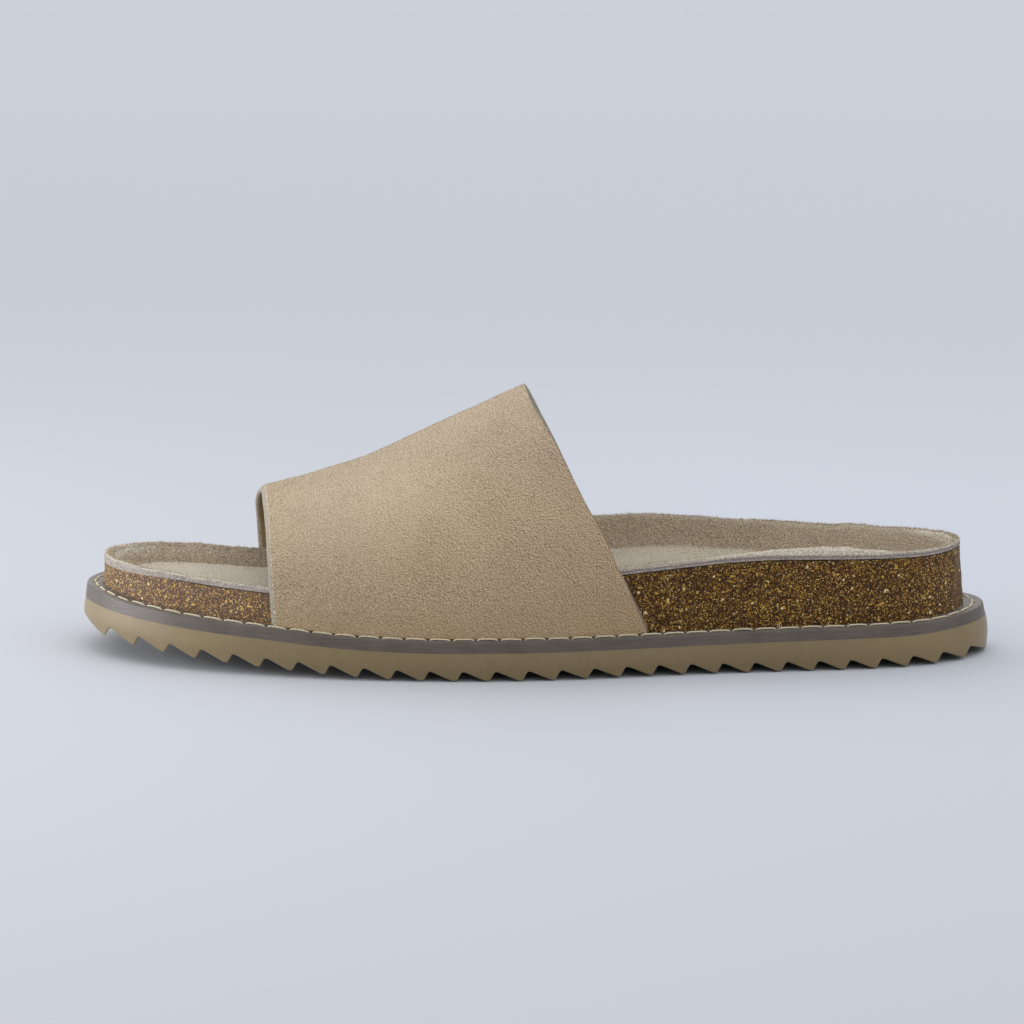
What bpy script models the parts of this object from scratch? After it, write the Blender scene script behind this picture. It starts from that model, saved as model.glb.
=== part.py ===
import bpy
import numpy as np

# Lengths are millimetres until a mesh is made. "from_toe" runs along the footbed from the tip of its toe,
# "across" is medial when positive, heights stand on the floor. The object is a left slide sandal.
MM = 0.001

GAP = 0.3
LEDGE = 5.0
FLARE = 1.5
MIDSOLE_THICKNESS = 3.4
MIDSOLE_CHAMFER = 0.5
MIDSOLE_LEAN = 0.6
INSOLE_THICKNESS = 1.6
FOOTBED_DRAFT = 0.08
BASE_ON_OUTSOLE = GAP + MIDSOLE_THICKNESS + GAP

TOOTH_COUNT = 29
TOOTH_PITCH = 9.37
TOOTH_DEPTH = 2.6
TOOTH_LAND = 0.9
TOOTH_ROOT = 0.6
TOOTH_STEEP_RUN = 1.6
FIRST_TOOTH = 7.6

STRAP_THICKNESS = 2.2
STRAP_MARGIN = 7.0
STRAP_CORNER = 0.3
STRAP_CORNER_GROWTH = 0.35
STRAP_CLEAR_OF_RIM = 1.0
STRAP_ROWS = 17
STRAP_FLANK = (0.0, 1.0, 1.5, 2.0, 2.5, 3.0)
STRAP_ARCH_STEPS = 12
POCKET_CLEARANCE = 0.25

PAIRS = 40
END_CROWDING = 0.45
SPINE_TOE_INSET = 34.0
SPINE_HEEL_INSET = 29.0
TOP_RINGS = (1.0, 0.965, 0.91, 0.83, 0.72, 0.56, 0.36, 0.15)

# Footbed outline, from the toe along the lateral side to the heel and back along the medial side.
# Columns: from_toe, across.
LATERAL_OUTLINE = (
    (0.0, 18.0),
    (5.0, -3.0),
    (18.0, -17.5),
    (40.0, -30.0),
    (68.0, -39.4),
    (98.0, -43.9),
    (128.0, -43.6),
    (165.0, -37.2),
    (198.0, -32.2),
    (226.0, -28.4),
    (246.0, -19.8),
)
MEDIAL_OUTLINE = (
    (256.6, 0.5),
    (246.0, 21.6),
    (226.0, 30.2),
    (195.0, 31.4),
    (165.0, 32.9),
    (135.0, 36.8),
    (105.0, 41.7),
    (78.0, 44.4),
    (50.0, 44.2),
    (25.0, 41.0),
    (8.0, 32.5),
)

# The bent sole: how far its underside stands off the floor, and how thick the outsole is there.
SOLE_COLUMNS = ("from_toe", "lift", "outsole")
SOLE = (
    (-6.5, 7.0, 7.7),
    (10.0, 5.3, 7.8),
    (30.0, 3.6, 7.8),
    (50.0, 2.4, 7.7),
    (75.0, 0.9, 7.4),
    (100.0, 0.0, 7.6),
    (128.0, 0.0, 7.6),
    (160.0, 0.4, 7.4),
    (192.0, 0.0, 8.2),
    (222.0, 0.0, 8.5),
    (240.0, 0.3, 8.5),
    (263.1, 1.2, 8.5),
)

# Cork heights above its base: rims, middle of the bed, and where each side's wall starts to rise
# as a share of the way from the middle to the rim.
FOOTBED_COLUMNS = ("from_toe", "lateral_rim", "medial_rim", "bed", "lateral_wall", "medial_wall")
FOOTBED = (
    (0.0, 8.7, 8.7, 4.4, 0.70, 0.70),
    (20.0, 8.6, 8.7, 4.0, 0.72, 0.72),
    (45.0, 8.5, 7.8, 3.4, 0.74, 0.74),
    (80.0, 9.2, 9.6, 4.0, 0.74, 0.70),
    (115.0, 12.2, 15.4, 7.4, 0.66, 0.46),
    (145.0, 15.8, 20.8, 11.6, 0.56, 0.22),
    (165.0, 17.2, 21.7, 12.6, 0.48, 0.15),
    (190.0, 18.1, 20.3, 11.8, 0.42, 0.20),
    (215.0, 18.2, 18.6, 10.0, 0.34, 0.30),
    (235.0, 17.8, 17.9, 9.2, 0.28, 0.28),
    (256.6, 17.8, 17.8, 9.2, 0.28, 0.28),
)

# Outer crest of the strap over the instep, and how full each flank of its arch is (2 is an ellipse).
STRAP_COLUMNS = ("from_toe", "crest", "crest_across", "lateral_fullness", "medial_fullness")
STRAP = (
    (40.0, 46.2, 2.0, 2.15, 2.15),
    (60.0, 51.4, 2.5, 2.15, 2.15),
    (80.0, 58.0, 3.0, 2.12, 2.12),
    (100.0, 67.1, 4.0, 2.10, 2.10),
    (125.0, 78.4, 5.0, 2.10, 2.10),
    (165.0, 93.0, 6.0, 2.10, 2.10),
)

# Where the strap's two cut edges lie: share runs from -1 at the spring of the lateral flank over the crest at 0
# to 1 on the medial side, and on to 1.5 at the foot of each flank.
EDGE_COLUMNS = ("share", "front", "rear")
STRAP_EDGES = (
    (-1.5, 51.8, 159.2),
    (-1.25, 51.4, 154.9),
    (-1.0, 51.0, 150.2),
    (-0.75, 50.4, 140.1),
    (-0.5, 49.6, 132.4),
    (0.0, 47.6, 125.0),
    (0.5, 44.2, 130.6),
    (1.0, 44.4, 145.0),
    (1.25, 44.6, 149.0),
    (1.5, 44.8, 153.0),
)

# Side wall of the outsole from the bottom up. Columns: out beyond the ledge, share of the height.
OUTSOLE_WALL = (
    (1.20, -0.12),
    (1.35, 0.18),
    (1.50, 0.45),
    (1.25, 0.75),
    (0.75, 1.00),
)

COLOURS = {
    "outsole": (0.31, 0.245, 0.15, 0.85),
    "midsole": (0.18, 0.155, 0.14, 0.80),
    "footbed": (0.17, 0.10, 0.05, 0.90),
    "insole": (0.47, 0.42, 0.34, 0.95),
    "strap": (0.50, 0.39, 0.265, 0.95),
}


def column(table, columns, name, x):
    # A column of a table as a smooth curve along the length.
    rows = np.array(table)
    knots = rows[:, 0]
    values = rows[:, columns.index(name)]
    slopes = np.gradient(values, knots)
    x = np.clip(x, knots[0], knots[-1])
    j = np.clip(np.searchsorted(knots, x, side="right") - 1, 0, len(knots) - 2)
    h = knots[j + 1] - knots[j]
    t = (x - knots[j]) / h
    start = (1 + 2 * t) * (1 - t) ** 2 * values[j] + t * (1 - t) ** 2 * h * slopes[j]
    end = t * t * (3 - 2 * t) * values[j + 1] + t * t * (t - 1) * h * slopes[j + 1]
    return start + end


def closed_spline(knots, samples):
    # Closed curve through the knots, smooth to its second derivative, with this many samples per span.
    count = len(knots)
    row = np.arange(count)
    after = np.roll(knots, -1, axis=0)
    span = np.linalg.norm(after - knots, axis=1)
    before = np.roll(span, 1)
    matrix = np.zeros((count, count))
    matrix[row, row] = 2 * (before + span)
    matrix[row, (row + 1) % count] = span
    matrix[row, (row - 1) % count] = before
    slope = (after - knots) / span[:, None]
    bend = np.linalg.solve(matrix, 6 * (slope - np.roll(slope, 1, axis=0)))
    next_bend = np.roll(bend, -1, axis=0)
    h = span[:, None, None]
    t = np.linspace(0, 1, samples, endpoint=False)[None, :, None] * h
    curve = (bend[:, None] * (h - t) ** 3 + next_bend[:, None] * t**3) / (6 * h)
    curve = curve + (knots[:, None] / h - bend[:, None] * h / 6) * (h - t)
    curve = curve + (after[:, None] / h - next_bend[:, None] * h / 6) * t
    return curve.reshape(-1, 2)


def even_side(curve, shares):
    # Points of an open curve at these shares of its length.
    steps = np.linalg.norm(np.diff(curve, axis=0), axis=1)
    run = np.concatenate([[0], np.cumsum(steps)])
    wanted = shares * run[-1]
    return np.column_stack([np.interp(wanted, run, curve[:, k]) for k in (0, 1)])


def outline_points():
    # Outline in pairs: point i of the lateral side faces point 2 * PAIRS - i of the medial side.
    samples = 200
    curve = closed_spline(np.array(LATERAL_OUTLINE + MEDIAL_OUTLINE), samples)
    heel = len(LATERAL_OUTLINE) * samples
    even = np.linspace(0, 1, PAIRS + 1)
    shares = (1 - END_CROWDING) * even + END_CROWDING * (1 - np.cos(np.pi * even)) / 2
    lateral = even_side(curve[: heel + 1], shares)
    medial = even_side(np.concatenate([curve[heel:], curve[:1]]), 1 - shares[::-1])
    points = np.concatenate([lateral, medial[1:-1]])
    tangent = np.roll(points, -1, axis=0) - np.roll(points, 1, axis=0)
    tangent = tangent / np.linalg.norm(tangent, axis=1)[:, None]
    normals = np.column_stack([tangent[:, 1], -tangent[:, 0]])
    return points, normals


OUTLINE, NORMALS = outline_points()
IS_MEDIAL = np.arange(2 * PAIRS) > PAIRS
REACH = LEDGE + FLARE
SOLE_TOE = (OUTLINE + REACH * NORMALS)[:, 0].min()
SOLE_HEEL = (OUTLINE + REACH * NORMALS)[:, 0].max()
SOLE_SIDE = (OUTLINE + REACH * NORMALS)[:, 1]
CENTRE = np.array([(SOLE_TOE + SOLE_HEEL) / 2, (SOLE_SIDE.min() + SOLE_SIDE.max()) / 2, 0.0])


def lift(x):
    return np.maximum(column(SOLE, SOLE_COLUMNS, "lift", x), 0.0)


def outsole_top(x):
    return lift(x) + column(SOLE, SOLE_COLUMNS, "outsole", x)


def deck_ring(out, height):
    # Ring round the sole at this height above the top of the outsole.
    points = OUTLINE + out * NORMALS
    return np.column_stack([points, height + outsole_top(points[:, 0])])


def outsole_ring(out, share):
    points = OUTLINE + out * NORMALS
    low = lift(points[:, 0])
    return np.column_stack([points, low + share * (outsole_top(points[:, 0]) - low)])


def split_quads(points, faces):
    # Each bent four-sided face is folded inwards, so that a solid stays behind its smooth surface.
    split = []
    for face in faces:
        if len(face) != 4:
            split.append(face)
            continue
        a, b, c, d = points[face]
        outward = np.cross(c - a, d - b)
        if np.dot(a + c - b - d, outward) < 0:
            split += [[face[0], face[1], face[2]], [face[0], face[2], face[3]]]
        else:
            split += [[face[1], face[2], face[3]], [face[1], face[3], face[0]]]
    return split


def add_mesh(name, points, faces):
    points = np.asarray(points, dtype=float)
    mesh = bpy.data.meshes.new(name)
    mesh.from_pydata(((points - CENTRE) * MM).tolist(), [], split_quads(points, faces))
    mesh.update()
    made = bpy.data.objects.new(name, mesh)
    bpy.context.scene.collection.objects.link(made)
    return made


def finish(made):
    red, green, blue, rough = COLOURS[made.name]
    material = bpy.data.materials.new(made.name)
    material.use_nodes = True
    shader = material.node_tree.nodes["Principled BSDF"]
    shader.inputs["Base Color"].default_value = (red, green, blue, 1.0)
    shader.inputs["Roughness"].default_value = rough
    shader.inputs["Metallic"].default_value = 0.0
    made.data.materials.append(material)
    return made


def make_cutter(made):
    made.hide_render = True
    made.display_type = "WIRE"
    return made


def cut(target, cutter):
    modifier = target.modifiers.new("cut", "BOOLEAN")
    modifier.operation = "DIFFERENCE"
    modifier.solver = "EXACT"
    modifier.object = cutter


def cap_faces(start, upward):
    # Strip of faces between the two sides of one ring.
    count = 2 * PAIRS
    faces = []
    for i in range(PAIRS):
        corners = [start + i, start + i + 1, start + (count - i - 1) % count, start + (count - i) % count]
        corners = list(dict.fromkeys(corners))
        faces.append(corners if upward else corners[::-1])
    return faces


def stacked(name, rings):
    # Closed solid from rings that each have a point for each point of the outline.
    count = 2 * PAIRS
    faces = cap_faces(0, False)
    for level in range(len(rings) - 1):
        low = level * count
        high = low + count
        for j in range(count):
            k = (j + 1) % count
            faces.append([low + j, low + k, high + k, high + j])
    faces += cap_faces((len(rings) - 1) * count, True)
    return add_mesh(name, np.concatenate(rings), faces)


def make_outsole():
    blank = stacked("outsole", [outsole_ring(LEDGE + out, share) for out, share in OUTSOLE_WALL])
    # One saw-tooth comb cuts the whole tread: each tooth is steep towards the heel and slopes towards the toe.
    profile = []
    for tooth in range(-2, TOOTH_COUNT):
        tip = SOLE_TOE + FIRST_TOOTH + tooth * TOOTH_PITCH
        root = tip + TOOTH_LAND / 2 + TOOTH_STEEP_RUN
        for x, height in (
            (tip - TOOTH_LAND / 2, 0.0),
            (tip + TOOTH_LAND / 2, 0.0),
            (root, TOOTH_DEPTH),
            (root + TOOTH_ROOT, TOOTH_DEPTH),
        ):
            profile.append((x, height + float(lift(x))))
    profile = profile[2:]
    below = -12.0
    profile = [(profile[0][0], below)] + profile + [(profile[-1][0], below)]
    half_width = 90.0
    count = len(profile)
    near = [(x, -half_width, z) for x, z in profile]
    far = [(x, half_width, z) for x, z in profile]
    faces = [list(range(count))[::-1], list(range(count, 2 * count))]
    faces += [[j, (j + 1) % count, count + (j + 1) % count, count + j] for j in range(count)]
    comb = make_cutter(add_mesh("tread_comb", near + far, faces))
    cut(blank, comb)
    return finish(blank)


def make_midsole():
    top = GAP + MIDSOLE_THICKNESS
    rings = [
        deck_ring(LEDGE + MIDSOLE_LEAN, GAP),
        deck_ring(LEDGE, top - MIDSOLE_CHAMFER),
        deck_ring(LEDGE - MIDSOLE_CHAMFER, top),
    ]
    return finish(stacked("midsole", rings))


def side_column(name, x):
    lateral = column(FOOTBED, FOOTBED_COLUMNS, "lateral_" + name, x)
    medial = column(FOOTBED, FOOTBED_COLUMNS, "medial_" + name, x)
    return np.where(IS_MEDIAL, medial, lateral)


def spine_points():
    # Line down the middle of the bed that the rings of the top close in on.
    middle = (OUTLINE + OUTLINE[(2 * PAIRS - np.arange(2 * PAIRS)) % (2 * PAIRS)]) / 2
    length = OUTLINE[:, 0].max()
    x = SPINE_TOE_INSET + middle[:, 0] / length * (length - SPINE_TOE_INSET - SPINE_HEEL_INSET)
    order = np.arange(PAIRS + 1)
    return np.column_stack([x, np.interp(x, middle[order, 0], middle[order, 1])])


def footbed_top(share):
    # Ring of the cork's top at this share of the way from the spine to the rim.
    rim = side_column("rim", OUTLINE[:, 0])
    wall = side_column("wall", OUTLINE[:, 0])
    edge = OUTLINE - FOOTBED_DRAFT * rim[:, None] * NORMALS
    spine = spine_points()
    points = spine + share * (edge - spine)
    bed = column(FOOTBED, FOOTBED_COLUMNS, "bed", points[:, 0])
    rise = np.clip((share - wall) / (1 - wall), 0.0, 1.0)
    height = bed + (rim - bed) * rise * rise * (3 - 2 * rise)
    return np.column_stack([points, outsole_top(points[:, 0]) + BASE_ON_OUTSOLE + height])


def top_normals(rings):
    grid = np.array(rings)
    around = np.roll(grid, -1, axis=1) - np.roll(grid, 1, axis=1)
    inward = np.gradient(grid, axis=0)
    normals = np.cross(around, inward)
    normals = normals / np.linalg.norm(normals, axis=2)[..., None]
    normals[0] = (0.0, 0.0, 1.0)
    return normals


def make_footbed(pocket):
    rings = [deck_ring(0.0, BASE_ON_OUTSOLE)] + [footbed_top(share) for share in TOP_RINGS]
    made = stacked("footbed", rings)
    cut(made, pocket)
    return finish(made)


def make_insole():
    rings = [footbed_top(share) for share in TOP_RINGS]
    normals = top_normals(rings)
    below = [ring + GAP * normal for ring, normal in zip(rings, normals)]
    above = [ring + (GAP + INSOLE_THICKNESS) * normal for ring, normal in zip(rings, normals)]
    shoulder = rings[0] + (GAP + 0.6 * INSOLE_THICKNESS) * normals[0]
    above[0] = above[0] + 0.25 * (above[1] - above[0]) * (1.0, 1.0, 0.0)
    return finish(stacked("insole", below[::-1] + [shoulder] + above))


def outline_across(x, medial):
    side = OUTLINE[PAIRS:] if medial else OUTLINE[: PAIRS + 1]
    if medial:
        side = np.concatenate([side, OUTLINE[:1]])[::-1]
    return np.interp(x, side[:, 0], side[:, 1])


def strap_section(x, flank, turn, medial, grow, margin):
    # Across and height of the strap's wall on one side: flank 0 to 3 runs from the end of the lasting margin
    # to the corner, up the straight wall to the spring of the arch, and turn 0 to 1 goes from there to the crest.
    sign = 1.0 if medial else -1.0
    side = "medial_" if medial else "lateral_"
    crest_across = column(STRAP, STRAP_COLUMNS, "crest_across", x)
    crest = column(STRAP, STRAP_COLUMNS, "crest", x) - STRAP_THICKNESS + grow
    full = column(STRAP, STRAP_COLUMNS, side + "fullness", x)
    plain_out = sign * (outline_across(x, medial) - crest_across) + GAP
    out = plain_out + grow
    cork_base = outsole_top(x) + BASE_ON_OUTSOLE
    base = cork_base + STRAP_THICKNESS - grow
    corner = np.maximum(STRAP_CORNER + STRAP_CORNER_GROWTH * grow, 0.1)
    rim = cork_base + column(FOOTBED, FOOTBED_COLUMNS, side + "rim", x)
    spring = rim + GAP + INSOLE_THICKNESS + STRAP_CLEAR_OF_RIM
    under = np.clip(flank, 0.0, 1.0)
    around = np.clip(flank - 1.0, 0.0, 1.0) * np.pi / 2
    up = np.clip(flank - 2.0, 0.0, 1.0)
    arch = turn * np.pi / 2
    low_out = plain_out - margin + under * (out - corner - plain_out + margin) + corner * np.sin(around)
    low_height = base + corner * (1 - np.cos(around)) + up * (spring - base - corner)
    arch_out = out * np.cos(arch) ** (2 / full)
    arch_height = spring + (crest - spring) * np.sin(arch) ** (2 / full)
    on_arch = turn > 0
    across = crest_across + sign * np.where(on_arch, arch_out, low_out)
    return across, np.where(on_arch, arch_height, low_height)


def strap_grid(grow, margin, longer):
    # Rows run from the front edge to the rear edge, columns from the lateral margin over to the medial one.
    arch = np.linspace(0, 1, STRAP_ARCH_STEPS + 1)[1:] ** 0.9
    flank = np.concatenate([STRAP_FLANK, np.full(len(arch), STRAP_FLANK[-1])])
    turn = np.concatenate([np.zeros(len(STRAP_FLANK)), arch])
    turn[-1] = 1.0 - 1e-9
    half = len(turn)

    def section(x):
        lateral = strap_section(x[..., :half], flank, turn, False, grow, margin)
        medial = strap_section(x[..., half:], flank[-2::-1], turn[-2::-1], True, grow, margin)
        return [np.concatenate(pair, axis=-1) for pair in zip(lateral, medial)]

    below = np.clip(STRAP_FLANK[-1] - flank, 0.0, 1.0) / 2
    lateral_share = turn - 1.0 - below
    share = np.concatenate([lateral_share, -lateral_share[-2::-1]])
    front = column(STRAP_EDGES, EDGE_COLUMNS, "front", share) - longer
    rear = column(STRAP_EDGES, EDGE_COLUMNS, "rear", share) + longer
    x = front + np.linspace(0, 1, STRAP_ROWS)[:, None] * (rear - front)
    across, height = section(x)
    return np.stack([x, across, height], axis=-1)


def strap_solid(name, clearance):
    outer = strap_grid(STRAP_THICKNESS + clearance, STRAP_MARGIN + clearance, clearance)
    inner = strap_grid(-clearance, STRAP_MARGIN + clearance, clearance)
    rows, columns = outer.shape[:2]
    count = rows * columns
    faces = []

    def at(row, col):
        return row * columns + col

    for row in range(rows - 1):
        for col in range(columns - 1):
            quad = [at(row, col), at(row + 1, col), at(row + 1, col + 1), at(row, col + 1)]
            faces.append(quad)
            faces.append([count + corner for corner in quad[::-1]])
    border = [at(0, col) for col in range(columns - 1)]
    border += [at(row, columns - 1) for row in range(rows - 1)]
    border += [at(rows - 1, col) for col in range(columns - 1, 0, -1)]
    border += [at(row, 0) for row in range(rows - 1, 0, -1)]
    for j, corner in enumerate(border):
        following = border[(j + 1) % len(border)]
        faces.append([corner, following, count + following, count + corner])
    points = np.concatenate([outer.reshape(-1, 3), inner.reshape(-1, 3)])
    return add_mesh(name, points, faces)


for old in list(bpy.data.objects):
    bpy.data.objects.remove(old, do_unlink=True)

make_outsole()
make_midsole()
make_footbed(make_cutter(strap_solid("margin_pocket", POCKET_CLEARANCE)))
make_insole()
finish(strap_solid("strap", 0.0))
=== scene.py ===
import math
import bpy
import numpy as np
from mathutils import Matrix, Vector


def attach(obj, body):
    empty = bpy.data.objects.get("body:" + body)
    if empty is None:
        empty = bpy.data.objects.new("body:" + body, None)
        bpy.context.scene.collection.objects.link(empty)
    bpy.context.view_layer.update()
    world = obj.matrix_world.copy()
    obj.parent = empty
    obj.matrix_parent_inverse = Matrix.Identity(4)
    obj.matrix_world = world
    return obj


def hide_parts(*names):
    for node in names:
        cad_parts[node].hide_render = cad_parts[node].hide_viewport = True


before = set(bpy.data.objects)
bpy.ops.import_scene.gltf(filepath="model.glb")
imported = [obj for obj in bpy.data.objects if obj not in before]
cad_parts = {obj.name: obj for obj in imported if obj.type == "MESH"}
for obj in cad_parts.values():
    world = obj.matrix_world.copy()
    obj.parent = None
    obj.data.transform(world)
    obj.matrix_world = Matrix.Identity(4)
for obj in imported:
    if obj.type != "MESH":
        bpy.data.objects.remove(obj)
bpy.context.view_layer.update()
print("frame in:", ", ".join(sorted(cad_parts)))

mm = 0.001
join = np.concatenate

# the last and the bent sole in millimetres: fromToe runs along the footbed, across is medial when positive
last = dict(
    centre=(128.1543, 0.1165, 0.0), samples=400,
    lateral=((0, 18), (5, -3), (18, -17.5), (40, -30), (68, -39.4), (98, -43.9), (128, -43.6),
             (165, -37.2), (198, -32.2), (226, -28.4), (246, -19.8)),
    medial=((256.6, 0.5), (246, 21.6), (226, 30.2), (195, 31.4), (165, 32.9), (135, 36.8),
            (105, 41.7), (78, 44.4), (50, 44.2), (25, 41), (8, 32.5)),
    gap=0.3, ledge=5.0, midsole=3.4, insole=1.6, draft=0.08, innermost=0.03,
    spineToe=34.0, spineHeel=29.0, endCrowding=0.45, fullToe=0.7, fullToeEnds=35,
    heelTail=0.9, heelTailFrom=(244, 12),
)
sole = dict(  # how far the underside stands off the floor, and how thick the outsole is
    fromToe=(-6.5, 10, 30, 50, 75, 100, 128, 160, 192, 222, 240, 263.1),
    lift=(7.0, 5.3, 3.6, 2.4, 0.9, 0, 0, 0.4, 0, 0, 0.3, 0.9),
    outsole=(7.7, 7.8, 7.8, 7.7, 7.4, 7.6, 7.6, 7.4, 8.2, 8.5, 8.5, 9.6),
)
# cork heights over its base, and where each wall starts to rise on the way from the middle to the rim
bed = dict(
    fromToe=(0, 20, 45, 80, 115, 145, 165, 190, 215, 235, 256.6),
    lateralRim=(7.8, 8.5, 8.5, 9.2, 12.2, 15.8, 17.3, 18.7, 18.3, 17.8, 17.2),
    medialRim=(7.8, 8.3, 7.6, 9.6, 15.4, 20.8, 21.7, 20.3, 18.6, 17.9, 17.2),
    bed=(4.4, 4.0, 3.4, 4.0, 7.4, 11.6, 12.6, 11.8, 10.0, 9.2, 9.2),
    lateralWall=(0.70, 0.72, 0.74, 0.74, 0.66, 0.56, 0.48, 0.42, 0.34, 0.28, 0.28),
    medialWall=(0.70, 0.72, 0.74, 0.70, 0.46, 0.22, 0.15, 0.20, 0.30, 0.28, 0.28),
    darkFrom=(0.03, 0.03, 0.03, 0.05, 0.12, 0.25, 0.30, 0.30, 0.20, 0.10, 0.05),
    pads=((152, 0, 0.9, 15, 15), (190, 1, 0.5, 9, 13)),  # fromToe, across, height, length, width
    upright=(0.965, 0.035),
)
gap, ledge = last["gap"], last["ledge"]
corkBase = gap + last["midsole"] + gap


def along(table, name, x, key="fromToe"):
    # smooth curve through one column of a table: cubic between rows, with slopes from the neighbours
    knots, values = np.array(table[key], float), np.array(table[name], float)
    slopes = np.gradient(values, knots)
    x = np.clip(x, knots[0], knots[-1])
    j = np.clip(np.searchsorted(knots, x, side="right") - 1, 0, len(knots) - 2)
    h = knots[j + 1] - knots[j]
    t = (x - knots[j]) / h
    start = (1 + 2 * t) * (1 - t) ** 2 * values[j] + t * (1 - t) ** 2 * h * slopes[j]
    return start + t * t * (3 - 2 * t) * values[j + 1] + t * t * (t - 1) * h * slopes[j + 1]


def bySide(table, name, x, medial):
    # the medial column where medial is true, else the lateral one
    return np.where(medial, along(table, "medial" + name, x), along(table, "lateral" + name, x))


def smooth(t):
    # 0 below 0, 1 above 1, an S between them
    t = np.clip(t, 0.0, 1.0)
    return t * t * (3 - 2 * t)


def ease(x, start, over):
    return smooth((x - start) / over)


def window(x, start, over, end, off):
    # rises from start and falls again from end
    return ease(x, start, over) * (1 - ease(x, end, off))


def column(values):
    return np.asarray(values, float)[:, None]


def unit(v):
    return v / np.linalg.norm(v, axis=-1)[..., None]


def closedSpline(knots, samples):
    # closed cubic spline through the knots, smooth to its second derivative
    count, row = len(knots), np.arange(len(knots))
    after = np.roll(knots, -1, axis=0)
    span = np.linalg.norm(after - knots, axis=1)
    before = np.roll(span, 1)
    matrix = np.zeros((count, count))
    matrix[row, row] = 2 * (before + span)
    matrix[row, (row + 1) % count] = span
    matrix[row, (row - 1) % count] = before
    slope = (after - knots) / span[:, None]
    bend = np.linalg.solve(matrix, 6 * (slope - np.roll(slope, 1, axis=0)))
    nextBend = np.roll(bend, -1, axis=0)
    h = span[:, None, None]
    t = np.linspace(0, 1, samples, endpoint=False)[None, :, None] * h
    curve = (bend[:, None] * (h - t) ** 3 + nextBend[:, None] * t**3) / (6 * h)
    curve = curve + (knots[:, None] / h - bend[:, None] * h / 6) * (h - t)
    curve = curve + (after[:, None] / h - nextBend[:, None] * h / 6) * t
    return curve.reshape(-1, 2)


def edgeNormals(points):
    # outward normals of a closed outline that runs toe, lateral side, heel, medial side
    tangent = unit(np.roll(points, -1, axis=0) - np.roll(points, 1, axis=0))
    return np.column_stack([tangent[:, 1], -tangent[:, 0]])


def runLength(points):
    # distance along an open line of points
    return join([[0.0], np.cumsum(np.linalg.norm(np.diff(points, axis=0), axis=1))])


fineCurve = closedSpline(np.array(last["lateral"] + last["medial"], float), last["samples"])
fineNormals = edgeNormals(fineCurve)
heelIndex = len(last["lateral"]) * last["samples"]
closedCurve, closedNormals = (join([v, v[:1]]) for v in (fineCurve, fineNormals))
curveRun = runLength(closedCurve)


def liftAt(x):
    return np.maximum(along(sole, "lift", x), 0.0)


def deckAt(x):
    # top of the outsole
    return liftAt(x) + along(sole, "outsole", x)


def onCurve(place, values, first=0):
    # values of a curve at these fractional places on it, counted from first
    index = np.arange(first, first + len(values))
    return np.stack([np.interp(place, index, values[:, k]) for k in (0, 1)], -1)


def ringOutline(pairs, fuller=0.0):
    # outline in facing pairs: point i of the lateral side faces point 2 * pairs - 1 - i of the medial side;
    # fuller moves the toe outwards; with its normals, middle line, fromToe, side and place on the curve
    even = (np.arange(pairs) + 0.5) / pairs
    crowd = last["endCrowding"]
    share = (1 - crowd) * even + crowd * (1 - np.cos(np.pi * even)) / 2
    heel, whole = curveRun[heelIndex], curveRun[-1]
    run = join([share * heel, heel + (1 - share[::-1]) * (whole - heel)])
    place = np.interp(run, curveRun, np.arange(len(curveRun)))
    points = onCurve(place, closedCurve)
    points = points + fuller * (1 - smooth(points[:, :1] / last["fullToeEnds"])) * edgeNormals(points)
    middle = (points + points[::-1]) / 2
    length = points[:, 0].max()
    x = last["spineToe"] + middle[:, 0] / length * (length - last["spineToe"] - last["spineHeel"])
    spine = np.column_stack([x, np.interp(x, middle[:pairs, 0], middle[:pairs, 1])])
    return points, edgeNormals(points), spine, points[:, 0], np.arange(2 * pairs) >= pairs, place


def ripple(points, size, seed, waves=26):
    # sum of sine waves in random directions: a repeatable unevenness with features of about this size
    rng = np.random.default_rng(seed)
    way = rng.normal(size=(waves, 3))
    way *= (2 * np.pi / size * rng.uniform(0.6, 1.5, waves) / np.linalg.norm(way, axis=1))[:, None]
    return np.sin(points @ way.T + rng.uniform(0, 2 * np.pi, waves)).sum(-1) * math.sqrt(2 / waves)


def uneven(points, kind):
    # one kind of unevenness: its height, the size of its features and its seed
    height, size, seed = kind
    return height * ripple(points, size, seed)


def gridQuads(rows, cols, first=0, closeRows=False, closeCols=False):
    # quads between neighbours of a grid that is stored row after row
    r, c = np.meshgrid(np.arange(rows if closeRows else rows - 1),
                       np.arange(cols if closeCols else cols - 1), indexing="ij")
    r1, c1 = (r + 1) % rows, (c + 1) % cols
    quads = np.stack([r * cols + c, r * cols + c1, r1 * cols + c1, r1 * cols + c], -1)
    return (first + quads).reshape(-1, 4)


def gridCross(grid):
    return np.cross(np.gradient(grid, axis=0), np.gradient(grid, axis=1))


def bridgeQuads(first, count):
    # quads across a ring whose point i faces point count - 1 - i
    j = np.arange(count // 2 - 1)
    return first + np.stack([j, j + 1, count - 2 - j, count - 1 - j], -1)


def newObject(name, data):
    made = bpy.data.objects.new(name, data)
    bpy.context.scene.collection.objects.link(made)
    return made


def addPiece(name, points, faceSets, values=None, sharp=None):
    # one object at the origin from points in millimetres, with its named values stored per point
    mesh = bpy.data.meshes.new(name)
    faces = [face for group in faceSets for face in group.tolist()]
    mesh.from_pydata(((points - last["centre"]) * mm).tolist(), [], faces)
    mesh.polygons.foreach_set("use_smooth", np.ones(len(mesh.polygons), bool))
    if sharp:
        mesh.set_sharp_from_angle(angle=math.radians(sharp))
    for key, value in (values or {}).items():
        kept = mesh.attributes.new(key, "FLOAT", "POINT").data
        kept.foreach_set("value", value.ravel().astype(np.float32))
    mesh.validate()
    made = newObject(name, mesh)
    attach(made, "root")
    print(name, len(mesh.vertices), "points")
    return made


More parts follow.
